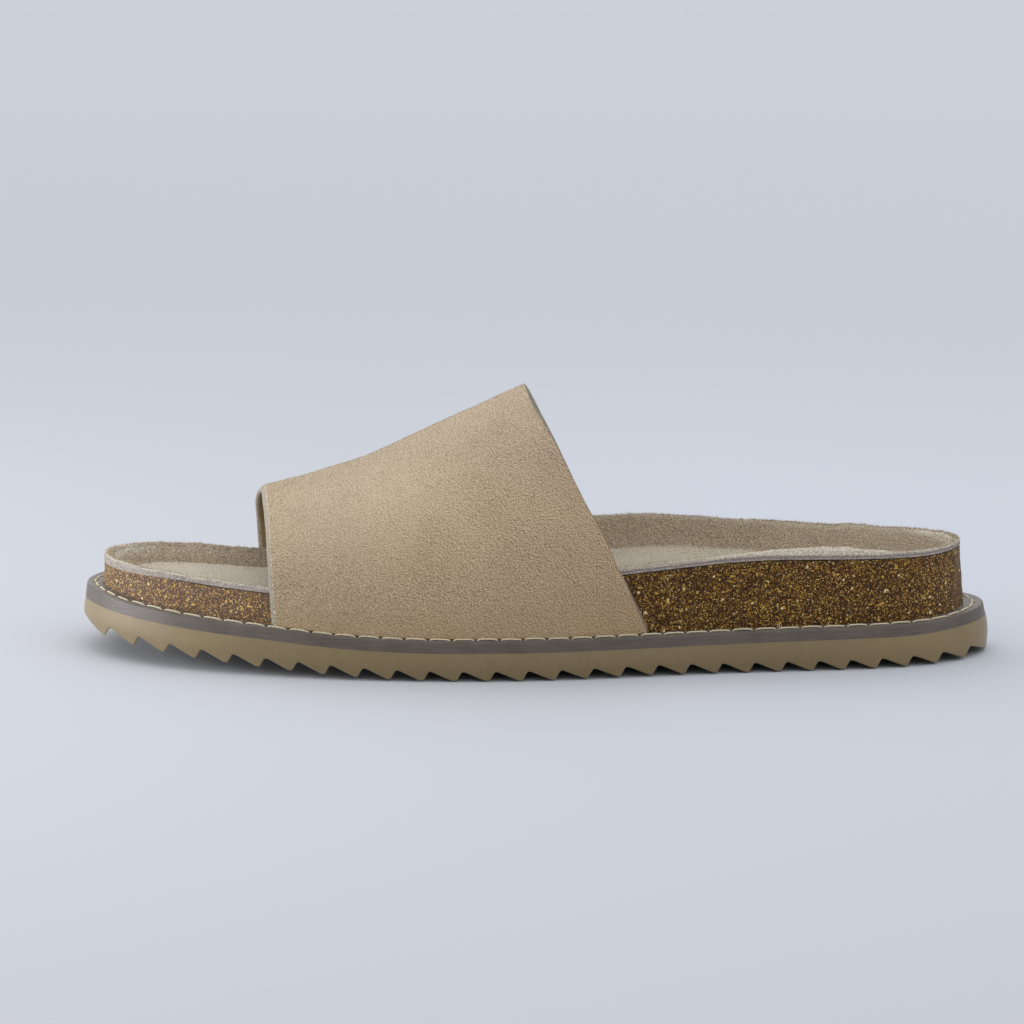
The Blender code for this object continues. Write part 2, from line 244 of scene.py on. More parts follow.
def ringSolid(name, grid, values=None, sharp=None):
    # closed solid from rows of rings: first row in the middle below, last row in the middle above
    rows, cols = grid.shape[:2]
    faces = (gridQuads(rows, cols, closeCols=True), bridgeQuads(0, cols)[:, ::-1],
             bridgeQuads((rows - 1) * cols, cols))
    return addPiece(name, grid.reshape(-1, 3), faces, values, sharp)


def corkTop(ring, share):
    # upper surface of the cork: share 0 down the middle, 1 on the rim; heights rise in an S up each wall
    points, normals, spine, x, medial, _ = ring
    rim, wall = bySide(bed, "Rim", x, medial), bySide(bed, "Wall", x, medial)
    edge = points - last["draft"] * rim[:, None] * normals
    share = np.broadcast_to(share, (len(share), len(x)))
    flat = spine + share[..., None] * (edge - spine)
    rise = smooth((share - wall) / (1 - wall))
    low = along(bed, "bed", flat[..., 0])
    for fromToe, across, height, length, width in bed["pads"]:
        away = ((flat[..., 0] - fromToe) / length) ** 2 + ((flat[..., 1] - across) / width) ** 2
        low = low + height * np.exp(-away)
    return np.dstack([flat, deckAt(flat[..., 0]) + corkBase + (low + (rim - low) * rise)])


def topNormals(ring, share):
    # unit normals of that surface from small steps inwards and along the ring, upright at the rim itself
    step = 0.008
    here = corkTop(ring, share)
    inward = corkTop(ring, share - step) - here
    around = np.roll(here, -1, axis=1) - np.roll(here, 1, axis=1)
    normal = unit(np.cross(around, inward))
    normal *= np.sign(normal[..., 2:])
    upright = ease(share, *bed["upright"])[..., None]
    return unit(normal * (1 - upright) + np.array((0.0, 0.0, 1.0)) * upright)


# insole: the suede sock, a sheet over the cork with a raw cut edge; unevenness as height, size and seed,
# places as where they start and over how far
insole = dict(
    pairs=400, rings=62, underRings=12, firstRing=0.026, crowding=1.25,
    edgeShare=(1, 1, 1, 0.9972, 0.9915), edgeLift=(0.7, 1.1, 1.5, 1.76, 1.88),
    swell=(0.10, 17, 3), nap=(0.035, 2.4, 4), tufts=(0.07, 1.8, 6), ragged=(0.15, 2.2, 5),
    toeDrop=0.8, toeDropEnds=28, cutEdge=(0.985, 0.01), upperSide=(1.3, 0.6),
    darkFade=0.07, nearSideEnds=(238, 12), slope=(0.006, 0.016), toeEnds=14, heel=(240, 12),
    behindStrap=(110, 25, 166, 22), rimWidth=3.5, narrower=1.8, rimFade=6,
)
lip = dict(  # the rim's rounded crest, a little inside the cut edge: how far it stands over that edge
    fromToe=(0, 40, 90, 150, 172, 190, 206, 222, 230, 238, 256.6),
    lateral=(-0.5, 0.0, 0.4, 0.6, 0.8, 1.3, 2.4, 2.4, 1.4, 0.3, 0.2),
    medial=(-0.4, -0.7, 0.3, 1.8, 1.4, 1.0, 0.7, 0.7, 0.9, 1.1, 0.6), inside=6.5, fall=9.0,
)
topRow = insole["underRings"] + len(insole["edgeShare"])
flattened = (1, 1, 0.6)


def makeInsole():
    # profile per outline point: out along the underside, up the cut edge, back in over the top
    ring = ringOutline(insole["pairs"], last["fullToe"])
    _, normals, _, x, medial, _ = ring
    low, high = gap, gap + last["insole"]
    under = np.linspace(last["innermost"], 1.0, insole["underRings"])
    inwards = np.linspace(insole["firstRing"], 1, insole["rings"]) ** insole["crowding"]
    over = 1 - (1 - last["innermost"]) * inwards
    share = column(join([under, insole["edgeShare"], over]))
    lift = column(join([np.full(len(under), low), insole["edgeLift"], np.full(len(over), high)]))
    normal = topNormals(ring, share)
    grid = corkTop(ring, share) + lift[..., None] * normal
    onTop = ease(lift, *insole["upperSide"])
    fromEdge = np.linalg.norm(grid[..., :2] - grid[topRow - 3, :, :2], axis=2)
    bulge = window(fromEdge, 0, lip["inside"], lip["inside"], lip["fall"])
    grid[..., 2] += onTop * bySide(lip, "", x, medial) * bulge
    # wall is where the fuzzier suede shows, painted darker as shade; rim the paler strip along the edge, a
    # painted highlight
    steep = 1 - np.abs(unit(gridCross(grid))[..., 2])
    foot = bySide(bed, "Wall", x, medial)
    wall = ease((share - foot) / (1 - foot), along(bed, "darkFrom", x), insole["darkFade"])
    nearSide = np.where(medial, 0.0, 1 - ease(x, *insole["nearSideEnds"]))
    wall = wall * (1 - nearSide * (1 - ease(steep, *insole["slope"])))
    atEnds = np.maximum(1 - smooth(x / insole["toeEnds"]), ease(x, *insole["heel"]))
    # the rim's painted highlight: near the ends on the medial side, along the lateral side except behind the
    # strap
    paleSide = np.where(medial, atEnds, 1 - 0.9 * window(x, *insole["behindStrap"]))
    rim = 1 - smooth((fromEdge - insole["rimWidth"] + insole["narrower"] * atEnds) / insole["rimFade"])
    rim = rim * (0.2 + 0.8 * paleSide)
    swell = uneven(grid, insole["swell"]) + uneven(grid, insole["nap"])
    swell = swell + wall * uneven(grid * flattened, insole["tufts"])
    grid = grid + (onTop * swell)[..., None] * normal
    # at the toe the cut edge hangs lower and a little further out
    onEdge = ease(share, *insole["cutEdge"])
    drop = insole["toeDrop"] * (1 - smooth(x / insole["toeDropEnds"])) * onEdge * (1 - ease(lift, low, 0.9))
    grid = grid + np.dstack([drop[..., None] * 0.3 * normals, -drop])
    ragged = onEdge * ease(lift, low, 0.3) * uneven(grid, insole["ragged"])
    grid[..., :2] += ragged[..., None] * normals
    layer = np.broadcast_to((lift - low) / last["insole"], grid.shape[:2])
    made = ringSolid("insoleSuede", grid, {"layer": layer, "wall": wall, "rim": rim}, 60)
    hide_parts("insole")
    return made, grid, normal, wall


# footbed: ground cork, with a pocket under it (from and to) for the strap's turned-in margin
cork = dict(
    pairs=340, rows=22, baseRows=7, pits=(0.06, 1.5, 8), swell=(0.06, 6, 9),
    pocket=2.6, margin=7.6, medialPocket=(45.2, 152.6), lateralPocket=(52.3, 158.8),
    pocketRoom=0.9, pocketFade=0.7, over=(0.992, 0.97, 0.9, 0.8, 0.65, 0.5, 0.35, 0.2, 0.03),
)


def makeCork():
    # profile per outline point: out along the base, up into the strap's pocket, up the side, in over the top
    ring = ringOutline(cork["pairs"], last["fullToe"])
    points, normals, spine, x, medial, _ = ring
    rim = bySide(bed, "Rim", x, medial)
    front, rear = np.where(medial[:, None], cork["medialPocket"], cork["lateralPocket"]).T
    room, fade = cork["pocketRoom"], cork["pocketFade"]
    tucked = smooth((x - front + room) / fade) * smooth((rear + room - x) / fade) * cork["pocket"]
    reach = np.linalg.norm(points - spine, axis=1)
    share = column(np.linspace(last["innermost"], 1, cork["baseRows"])) * (1 - cork["margin"] / reach)
    flat = spine + share[..., None] * (points - spine)
    inner = points - cork["margin"] * normals
    foot = tucked - (gap - 0.02) * (1 - tucked / cork["pocket"])
    rise = column(np.linspace(0, 1, cork["rows"]))
    side = points - (last["draft"] * rise * rim)[..., None] * normals
    flat = join([flat[:-1], [inner, inner], side])
    up = join([np.full((cork["baseRows"], len(x)), -gap), foot[None], foot + rise * (rim - foot)])
    grid = np.dstack([flat, deckAt(flat[..., 0]) + corkBase + up])
    rough = smooth(rise / 0.1) * smooth((1 - rise) / 0.08) * (1 - np.clip(tucked / cork["pocket"], 0, 1))
    side = grid[-cork["rows"]:]
    swell = uneven(side, cork["swell"]) - np.abs(uneven(side, cork["pits"]))
    side[..., :2] += (rough * swell)[..., None] * normals
    made = ringSolid("corkFootbed", join([grid, corkTop(ring, column(cork["over"]))]), None, 50)
    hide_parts("footbed")
    return made


# welt stitching: its holes also dent the midsole's ledge
stitch = dict(out=2.8, count=89, holeAt=123.28, thread=0.36, flat=0.75, gap=0.2, arch=0.08,
              hole=0.32, holeDepth=0.75, wander=0.10, slant=0.12, archWander=0.05, dive=0.7,
              rows=13, sides=8, plies=6)
stitchLine = fineCurve + stitch["out"] * fineNormals
stitchRun = runLength(join([stitchLine, stitchLine[:1]]))
stitchPitch = stitchRun[-1] / stitch["count"]

# the ledge stands higher round the toe and reaches further out at the big toe's corner
toeWelt = dict(fromToe=(0, 0.7, 2.4, 4.6, 9, 20, 40, 60), rise=(1.0, 0.95, 0.85, 0.75, 0.5, 0.35, 0.15, 0),
               medial=(0.4, 0.7, 1.9, 2.8, 2.9, 1.6, 0.3, 0), lateral=(0.4, 0.3, 0.1, 0, 0, 0, 0, 0))


def heelTail(x):
    # how much further the ledge and the outsole reach out behind the heel
    return last["heelTail"] * ease(x, *last["heelTailFrom"])


def holeNearness(run, out):
    # 1 in the middle of a stitch hole, falling off as a bell with the distance from it
    away = (run - stitch["holeAt"] + stitchPitch / 2) % stitchPitch - stitchPitch / 2
    return np.exp(-(away**2 + (out - stitch["out"]) ** 2) / stitch["hole"] ** 2)


# midsole: the grey runner whose ledge carries the stitches
runner = dict(pairs=720, lean=0.6, round=0.45, groove=0.12, grooveWidth=0.7, wallRows=7,
              ledgeRows=15, ledgeFrom=4.25, ledgeTo=-0.5, under=(0, 3), inside=-7, middle=(0.03, 0.4, 0.7))


def makeMidsole():
    # profile per outline point: out along the underside, up the wall, round the corner, in over the ledge
    points, normals, spine, x, medial, place = ringOutline(runner["pairs"])
    low, high = gap - 0.05, gap + last["midsole"]
    r, turn = runner["round"], np.linspace(0, np.pi / 2, 5)[1:]
    wallUp = np.linspace(low, high - r, runner["wallRows"])
    wallOut = ledge + runner["lean"] * (1 - (wallUp - low) / (high - low))
    ledgeOut = np.linspace(runner["ledgeFrom"], runner["ledgeTo"], runner["ledgeRows"])
    out = join([runner["under"], wallOut, ledge - r + r * np.cos(turn), ledgeOut, [runner["inside"]]])
    up = join([[low, low], wallUp, high - r + r * np.sin(turn), np.full(len(ledgeOut) + 1, high)])
    further = heelTail(x) + bySide(toeWelt, "", x, medial)
    reach = column(out) + further * column(np.clip(out / ledge - 0.1, 0, 0.95))
    run = np.interp(place, np.arange(len(stitchRun)), stitchRun)
    onLedge = column(up) > high - 0.01
    near = holeNearness(run, column(out)) * onLedge
    pressed = np.exp(-((column(out) - stitch["out"]) / runner["grooveWidth"]) ** 2) * onLedge
    height = column(up) - stitch["holeDepth"] * near - runner["groove"] * pressed
    height = height + along(toeWelt, "rise", x) * column((up - low) / (high - low))
    inner = spine + np.array(runner["middle"])[:, None, None] * (points - spine)
    flat = join([inner, points + reach[..., None] * normals, inner[::-1]])
    none = np.zeros(inner.shape[:2])
    height = join([none + low, height, none + high])
    grid = np.dstack([flat, deckAt(flat[..., 0]) + height])
    made = ringSolid("midsoleRunner", grid, {"hole": join([none, near, none])}, 60)
    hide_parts("midsole")
    return made


def makeStitches():
    # each stitch is a tube along the welt: it rises in a low arch and dives into a hole at both ends
    count, rows, sides = stitch["count"], stitch["rows"], stitch["sides"]
    k, t = np.arange(count)[:, None], np.linspace(0, 1, rows)[None]
    free = stitch["gap"] / stitchPitch
    run = stitch["holeAt"] + (k + 0.5 * free + t * (1 - free)) * stitchPitch
    place = np.interp(run % stitchRun[-1], stitchRun, np.arange(len(stitchRun)))
    flat, normal = onCurve(place, closedCurve), onCurve(place, closedNormals)
    rng = np.random.default_rng(11)
    wander = rng.normal(0, stitch["wander"], (count, 1))
    slant = rng.normal(0, stitch["wander"], (count, 1)) + stitch["slant"]
    out = stitch["out"] + wander + slant * (2 * t - 1)
    ends = np.abs(2 * t - 1)
    arch = stitch["arch"] + rng.normal(0, stitch["archWander"], (count, 1))
    rise = stitch["thread"] * 0.45 + arch * (1 - ends**2) - stitch["dive"] * ends**7
    ledgeTop = deckAt(flat[..., 0]) + gap + last["midsole"] + along(toeWelt, "rise", flat[..., 0])
    centre = np.dstack([flat + out[..., None] * normal, ledgeTop + rise])
    radius = stitch["thread"] * np.sqrt(np.clip(1 - ends**9, 0.02, 1)) * (1 + 0.05 * np.sin(9 * t * np.pi))
    angle = np.arange(sides) / sides * 2 * np.pi
    sideways = np.dstack([normal, np.zeros(normal.shape[:2])])
    upward = np.cross(unit(np.gradient(centre, axis=1)), sideways)
    upward *= np.sign(upward[..., 2:])
    section = (np.cos(angle)[:, None] * sideways[:, :, None]
               + stitch["flat"] * np.sin(angle)[:, None] * upward[:, :, None])
    tubes = (centre[:, :, None] + radius[..., None, None] * section).reshape(-1, 3)
    one = gridQuads(rows, sides, closeCols=True)
    quads = (k[..., None] * rows * sides + one).reshape(-1, 4)[:, ::-1]
    # fans of triangles close both ends, each round a point of its own
    s, first = np.arange(sides), k * rows * sides
    after, final, pole = (s + 1) % sides, first + (rows - 1) * sides, len(tubes) + k + 0 * s
    fans = ((pole, first + s, first + after), (pole + count, final + after, final + s))
    fans = [np.stack(fan, -1).reshape(-1, 3) for fan in fans]
    twist = np.broadcast_to((t * stitch["plies"])[..., None] + angle / (2 * np.pi), (count, rows, sides))
    return addPiece("weltStitches", join([tubes, centre[:, 0], centre[:, -1]]), [quads, *fans],
                    {"twist": join([twist.ravel(), np.zeros(2 * count)])})


# outsole: tan rubber with a saw-tooth tread, steep towards the heel
tread = dict(firstTooth=0.81, pitch=9.37, depth=2.6, land=0.9, root=0.9, steep=1.5, soften=0.28,
             edge=0.45, cornerLess=0.4, nearBreaks=(-0.24, -0.12, 0, 0.12, 0.24), onSlope=(1.2, 4, 5.5, 7),
             closest=0.045, footShare=0.12, under=(0.97, 0.75, 0.5, 0.25, 0.08, 0), over=(0.1, 0.5, 0.97))
wallShape = dict(share=(-0.12, 0.18, 0.45, 0.75, 1.0), out=(1.2, 1.35, 1.5, 1.25, 0.75))
halfLand = tread["land"] / 2
steepEnd = halfLand + tread["steep"]
toothBreaks = np.array([-halfLand, halfLand, steepEnd, steepEnd + tread["root"]])


def toothAt(x):
    # height of the tread over its tips: flat tip, steep rise, flat root, long slope, all slightly softened
    places = np.array([0, *toothBreaks[1:], tread["pitch"] - halfLand, tread["pitch"]])
    heights = np.array([0, 0, 1, 1, 0, 0]) * tread["depth"]
    around = np.linspace(-1, 1, 9) * tread["soften"]
    phase = (x[..., None] + around - tread["firstTooth"]) % tread["pitch"]
    return np.interp(phase, places, heights).mean(-1)


def treadStations(first, final):
    # where columns stand: at the breaks and on the slope of every tooth, and closer together at both ends
    local = join([(toothBreaks[:, None] + tread["nearBreaks"]).ravel(), tread["onSlope"]])
    teeth = (tread["firstTooth"] + np.arange(-2, 30)[:, None] * tread["pitch"] + local).ravel()
    ends = (np.arange(1, 16) * 1.2) ** 2 / 70
    x = np.sort(join([teeth, first + ends, final - ends, [first, final]]))
    x = x[(x >= first) & (x <= final)]
    return x[join([[True], np.diff(x) > tread["closest"]])]


def towardsMiddle(ring, shares):
    # copies of a ring, each moved by its share of the way to the middle of facing points
    return ring + np.array(shares)[:, None, None] * ((ring + ring[::-1]) / 2 - ring)


def makeOutsole():
    # columns stand at the tread's stations on both sides; rows run under the tread, up the wall, over the top
    foot, bevel, count = ledge + wallShape["out"][0], tread["edge"], len(fineCurve)
    corner = bySide(toeWelt, "", fineCurve[:, 0], np.arange(count) >= heelIndex) - tread["cornerLess"]
    outline = fineCurve + column(heelTail(fineCurve[:, 0]) + np.maximum(corner, 0)) * fineNormals
    bottomX = (outline + foot * fineNormals)[:, 0]
    toe, heel = int(bottomX.argmin()), int(bottomX.argmax())
    lateral = np.arange(toe, heel + (count if heel < toe else 0) + 1)
    medial = np.arange(heel, toe + (count if toe < heel else 0) + 1)[::-1]
    x = treadStations(bottomX.min() + 0.004, bottomX.max() - 0.004)
    place = [np.interp(x, np.maximum.accumulate(bottomX[side % count]), side) for side in (lateral, medial)]
    place = join([place[0], place[1][::-1]])
    curve, normal = (onCurve(place, np.tile(v, (3, 1)), -count) for v in (outline, fineNormals))
    stations = join([x, x[::-1]])
    low, top = liftAt(stations), deckAt(stations) + gap
    cut = low + toothAt(stations)
    footShare = tread["footShare"]
    v = column(join([np.linspace(0, 1, 5)[1:] ** 1.6 * footShare, np.linspace(footShare, 1, 14)[1:]]))
    wallZ = cut + v * (top - cut)
    wallOut = ledge + along(wallShape, "out", (wallZ - low) / (top - low), "share")
    wallOut = wallOut - bevel * np.clip(1 - (wallZ - cut) / bevel, 0, 1) ** 2
    wallFlat = curve + wallOut[..., None] * normal
    rimFlat = curve + (foot - bevel) * normal
    rimFlat[:, 0] = np.where(np.abs(rimFlat[:, 0] - stations) < 1, stations, rimFlat[:, 0])
    under, over = towardsMiddle(rimFlat, tread["under"]), towardsMiddle(wallFlat[-1], tread["over"])
    underZ = liftAt(under[..., 0]) + toothAt(under[..., 0])
    overZ = deckAt(join([wallFlat[-1:], over])[..., 0]) + gap
    flat = join([under, wallFlat, over])
    grid = np.dstack([flat, join([underZ, wallZ[:-1], overZ])])
    made = ringSolid("outsoleRubber", grid, None, 35)
    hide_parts("outsole")
    return made


# strap: one wall of suede over the instep, turned in under the cork
strap = dict(
    thickness=2.2, margin=7.0, corner=0.3, cornerGrowth=0.08, overRim=1.0, rows=110, edgeRows=8,
    archColumns=80, swell=(0.06, 20, 21), nap=(0.03, 2.0, 22), edgeWander=(0.05, 14, 23),
    frontRounding=1.3, rearRounding=0.35, liningFrom=(0.72, 0.2), litLining=7,
)
instep = dict(
    fromToe=(40, 60, 80, 100, 125, 165), crest=(46.2, 51.4, 58.0, 67.1, 78.4, 93.0),
    crestAcross=(2, 2.5, 3, 4, 5, 6), fullness=(2.15, 2.15, 2.12, 2.1, 2.1, 2.1),
)
strapEdges = dict(  # share -1 is the lateral flank's spring, 0 the crest, 1 the medial spring, 1.5 the foot
    share=(-1.5, -1.25, -1, -0.75, -0.5, -0.37, -0.28, -0.12, 0, 0.25, 0.5, 0.75, 1, 1.25, 1.5),
    front=(51.6, 51.2, 50.8, 50.2, 49.4, 48.9, 48.53, 47.86, 47.3, 45.52, 44.0, 43.86, 44.2, 44.4, 44.6),
    rear=(159.4, 155.1, 150.5, 140.5, 132.8, 129.5, 127.6, 126.1, 125.7, 127.4, 131.5, 138, 145.4,
          149.1, 153),
)


def strapColumns():
    # stations round the section: flank 0 to 3 up the side, turn 0 to 1 up the arch, mirrored beyond the crest
    flank = join([np.linspace(0, 1, 7), np.linspace(1, 2, 6)[1:], np.linspace(2, 3, 18)[1:]])
    turn = np.linspace(0, 1, strap["archColumns"])[1:] ** 0.95
    turn[-1] = 1 - 1e-9
    flank, turn = join([flank, np.full(len(turn), 3.0)]), join([np.zeros(len(flank)), turn])
    share = turn - 1 - np.clip(3 - flank, 0, 1) / 2
    side = join([np.full(len(turn), -1.0), np.full(len(turn) - 1, 1.0)])
    return join([flank, flank[-2::-1]]), join([turn, turn[-2::-1]]), side, join([share, -share[-2::-1]])


def strapSection(x, grow, flank, turn, side):
    # section at fromToe x: margin under the cork, small corner, straight wall, superellipse arch to the crest
    lateralLine, medialLine = fineCurve[: heelIndex + 1], closedCurve[heelIndex:][::-1]
    lateralAcross, medialAcross = (np.interp(x, line[:, 0], line[:, 1]) for line in (lateralLine, medialLine))
    across = np.where(side > 0, medialAcross, lateralAcross)
    rim = bySide(bed, "Rim", x, side > 0)
    crestAcross, full = along(instep, "crestAcross", x), along(instep, "fullness", x)
    crest = along(instep, "crest", x) - strap["thickness"] + grow
    plain = side * (across - crestAcross) + gap
    out = plain + grow
    base0 = deckAt(x) + corkBase
    base = base0 + strap["thickness"] - grow - 0.9 * gap
    corner = np.maximum(strap["corner"] + strap["cornerGrowth"] * grow, 0.1)
    spring = base0 + rim + gap + last["insole"] + strap["overRim"]
    under, around, up = np.clip(flank, 0, 1), np.clip(flank - 1, 0, 1) * np.pi / 2, np.clip(flank - 2, 0, 1)
    margin = strap["margin"]
    lowOut = plain - margin + under * (out - corner - plain + margin) + corner * np.sin(around)
    lowUp = base + corner * (1 - np.cos(around)) + up * (spring - base - corner)
    arch = turn * np.pi / 2
    archOut = out * np.cos(arch) ** (2 / full)
    archUp = spring + (crest - spring) * np.sin(arch) ** (2 / full)
    return crestAcross + side * np.where(turn > 0, archOut, lowOut), np.where(turn > 0, archUp, lowUp)


def makeStrap():
    # rows run over the outside to the rear, round the rear edge, back along the inside, round the front edge
    flank, turn, side, share = strapColumns()
    rows, edgeRows = strap["rows"], strap["edgeRows"]
    frontRound, rearRound = strap["frontRounding"], strap["rearRounding"]
    front, rear = along(strapEdges, "front", share, "share"), along(strapEdges, "rear", share, "share")
    v = column(np.linspace(0, 1, rows))
    angle = column(np.linspace(0, np.pi, edgeRows + 2)[1:-1])
    body = front + frontRound + v * (rear - front - frontRound - rearRound)
    rearTurn, frontTurn = rear - rearRound * (1 - np.sin(angle)), front + frontRound * (1 - np.sin(angle))
    x = join([body, rearTurn, body[::-1], frontTurn])

    def lap(outside, rearEdge, inside, frontEdge):
        # a value for every row
        return join([0 * v + outside, 0 * angle + rearEdge, 0 * v + inside, 0 * angle + frontEdge])

    half, turned = strap["thickness"] / 2, angle / np.pi
    grow = lap(2 * half, half + half * np.cos(angle), 0, half - half * np.cos(angle))
    grow = np.broadcast_to(grow, x.shape)
    inside = lap(0, ease(turned, *strap["liningFrom"]), 1, ease(1 - turned, *strap["liningFrom"]))
    onCut = smooth(np.sin(angle) / 0.5)
    cutEdge = lap(0, onCut, 0, onCut)
    across, up = strapSection(x, grow, flank, turn, side)
    grid = np.dstack([x, across, up])
    free = smooth((flank - 2.2) / 0.8) * smooth(grow / strap["thickness"])
    swell = uneven(grid, strap["swell"]) + uneven(grid, strap["nap"])
    across, up = strapSection(x, grow + free * swell, flank, turn, side)
    grid = np.dstack([x + uneven(grid, strap["edgeWander"]) * cutEdge, across, up])
    loops, cols = grid.shape[:2]
    # quads between facing rows close the section at both feet
    wide, tight = np.arange(rows - 1), np.arange(edgeRows // 2)
    pair = 2 * rows + edgeRows - 1
    turns = [start + np.stack([tight, tight + 1, edgeRows - tight, edgeRows + 1 - tight], -1)
             for start in (rows - 1, pair)]
    cap = join([np.stack([wide, wide + 1, pair - 1 - wide, pair - wide], -1), *turns]) % loops
    quads = gridQuads(loops, cols, closeRows=True)[:, ::-1]
    faces = (quads, cap[:, ::-1] * cols, cap * cols + cols - 1)
    values = {
        "inside": inside, "cutEdge": cutEdge, "foot": 1 - smooth((flank - 2) / 1.0),
        "darkEdge": lap(0, 1, 0, 0) * (1 - ease(share, -0.25, 0.2)),
        "litLining": inside * smooth(share / 0.15) * (1 - smooth((rear - x) / strap["litLining"])),
    }
    values = {key: np.broadcast_to(value, x.shape) for key, value in values.items()}
    made = addPiece("strapSuede", grid.reshape(-1, 3), faces, values, 70)
    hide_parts("strap")
    return made, grid[:rows]


# loose fibres that stand up from the suede: how many, how long, how far they lean and how their tones differ
fibres = dict(
    width=0.08, insoleCount=34000, insoleLength=(0.4, 1.15), rimShare=0.35, rimRows=6, rimLength=0.65,
    insoleLean=0.35, clumps=(1.1, 34), combing=(2.6, (35, 36, 37)), darker=(100, 80),
    strapCount=30000, strapLength=(0.2, 0.5), strapLean=0.5, strapMiddle=(100.0, 3.0, 20.0),
)


def makeFibres(name, roots, ways, length, tone):
    # each fibre is a slim spike of one tone: a small triangle at its root and one point at its tip
    ways = unit(ways)
    side = unit(np.cross(ways, (0.3, 0.5, 0.8)))
    other = np.cross(ways, side)
    angle = np.array([0, 2, 4]) * np.pi / 3
    corners = np.cos(angle)[:, None] * side[:, None] + np.sin(angle)[:, None] * other[:, None]
    foot = roots[:, None] + fibres["width"] / 2 * corners
    tip = roots + length[:, None] * ways
    points = join([foot, tip[:, None]], axis=1).reshape(-1, 3)
    one = np.array([[0, 1, 3], [1, 2, 3], [2, 0, 3], [2, 1, 0]])
    faces = (4 * np.arange(len(roots))[:, None, None] + one).reshape(-1, 3)
    return addPiece(name, points, [faces], {"tone": np.repeat(np.clip(tone, 0, 1), 4)})


def makeInsoleFibres(grid, normal, wall):
    # roots lie on the walls, in proportion to their area, and a further share stands along the rim
    rng = np.random.default_rng(31)
    count, cols = fibres["insoleCount"], grid.shape[1]
    area = np.linalg.norm(gridCross(grid), axis=2)[topRow:]
    chance = (area * wall[topRow:]).ravel()
    onWall = rng.choice(len(chance), count, p=chance / chance.sum())
    onRim = rng.random(count) < fibres["rimShare"]
    row = np.where(onRim, topRow - 1 + rng.integers(0, fibres["rimRows"], count), topRow + onWall // cols)
    col = np.where(onRim, rng.integers(0, cols, count), onWall % cols)
    mix = rng.random((count, 2, 1))
    here, ahead = grid[row, col], grid[row, (col + 1) % cols]
    further = grid[np.minimum(row + 1, len(grid) - 1), col]
    roots = here + mix[:, 0] * (ahead - here) + mix[:, 1] * (further - here)
    clump = ripple(roots * flattened, *fibres["clumps"])
    size, seeds = fibres["combing"]
    lean = fibres["insoleLean"]
    ways = normal[row, col] + rng.normal(0, lean, (count, 3))
    ways = ways + lean * np.column_stack([ripple(roots, size, seed) for seed in seeds])
    length = rng.uniform(*fibres["insoleLength"], count) * (1 + 0.3 * clump)
    tone = 0.5 + 0.22 * clump + rng.normal(0, 0.2, count)
    # painted shade: the fibres darker towards the heel; rim fibres paler with the rim's painted highlight
    tone = tone - 0.12 * ease(roots[:, 0], *fibres["darker"]) + 0.25 * onRim
    return makeFibres("insoleFibres", roots, ways, length * np.where(onRim, fibres["rimLength"], 1.0), tone)


def makeStrapFibres(grid):
    # roots lie anywhere on the outside of the strap, above the turned-in feet
    rng = np.random.default_rng(32)
    count = fibres["strapCount"]
    normal = unit(gridCross(grid))
    normal *= np.sign((normal * (grid - fibres["strapMiddle"])).sum(-1))[..., None]
    row = rng.integers(0, grid.shape[0] - 1, count)
    col = rng.integers(14, grid.shape[1] - 15, count)
    mix = rng.random((count, 1))
    roots = grid[row, col] * mix + grid[row + 1, col + 1] * (1 - mix)
    ways = normal[row, col] + rng.normal(0, fibres["strapLean"], (count, 3))
    length = rng.uniform(*fibres["strapLength"], count)
    return makeFibres("strapFibres", roots, ways, length, rng.normal(0.5, 0.3, count))


work = {}  # holds the node tree at hand


def link(start, end):
    work["tree"].links.new(start, end)


def put(kind, inputs=None, **settings):
    # one shader node in that tree with its settings, its values and its links
    made = work["tree"].nodes.new("ShaderNode" + kind)
    for key, value in settings.items():
        setattr(made, key, value)
    for key, value in (inputs or {}).items():
        if isinstance(value, bpy.types.NodeSocket):
            link(value, made.inputs[key])
        else:
            made.inputs[key].default_value = value
    return made


def maths(operation, a, b=0.0, c=0.0, clamp=False):
    return put("Math", {0: a, 1: b, 2: c}, operation=operation, use_clamp=clamp).outputs[0]


def times(a, b):
    return maths("MULTIPLY", a, b)


def plus(a, b, clamp=False):
    return maths("ADD", a, b, clamp=clamp)


def less(a, b, clamp=False):
    return maths("SUBTRACT", a, b, clamp=clamp)


def vectors(operation, a, b):
    made = put("VectorMath", {0: a, 1: b}, operation=operation)
    return made.outputs["Value" if operation in ("DISTANCE", "DOT_PRODUCT") else "Vector"]


def axes(place):
    return put("SeparateXYZ", {0: place}).outputs


def tint(factor, a, b, mode="MIX"):
    a, b = (v if isinstance(v, bpy.types.NodeSocket) else (*v, 1.0) for v in (a, b))
    return put("Mix", {0: factor, 6: a, 7: b}, data_type="RGBA", blend_type=mode).outputs[2]


def ramp(value, low, high):
    # 0 at low, 1 at high, an S between them
    settings = {"Value": value, "From Min": low, "From Max": high}
    return put("MapRange", settings, interpolation_type="SMOOTHSTEP").outputs["Result"]


def noise(vector, scale, detail, roughness=0.6, output=0):
    settings = {"Vector": vector, "Scale": scale, "Detail": detail, "Roughness": roughness}
    return put("TexNoise", settings).outputs[output]


def cells(vector, scale, randomness=1.0):
    # random cells: three values drawn for each cell, and the distance from its middle
    made = put("TexVoronoi", {"Vector": vector, "Scale": scale, "Randomness": randomness})
    return put("SeparateColor", {0: made.outputs["Color"]}).outputs, made.outputs["Distance"]


def stored(name):
    return put("Attribute", attribute_name=name).outputs["Fac"]


def paintLightAndShade(colour, place, lightAndShadeZones):
    # painted light and shade: multiplies the colour by each zone's tone: axis, where it starts, where it is
    # full, tone
    for axis, start, full, tone in lightAndShadeZones:
        colour = tint(ramp(axes(place)[axis], start, full), colour, tone, "MULTIPLY")
    return colour


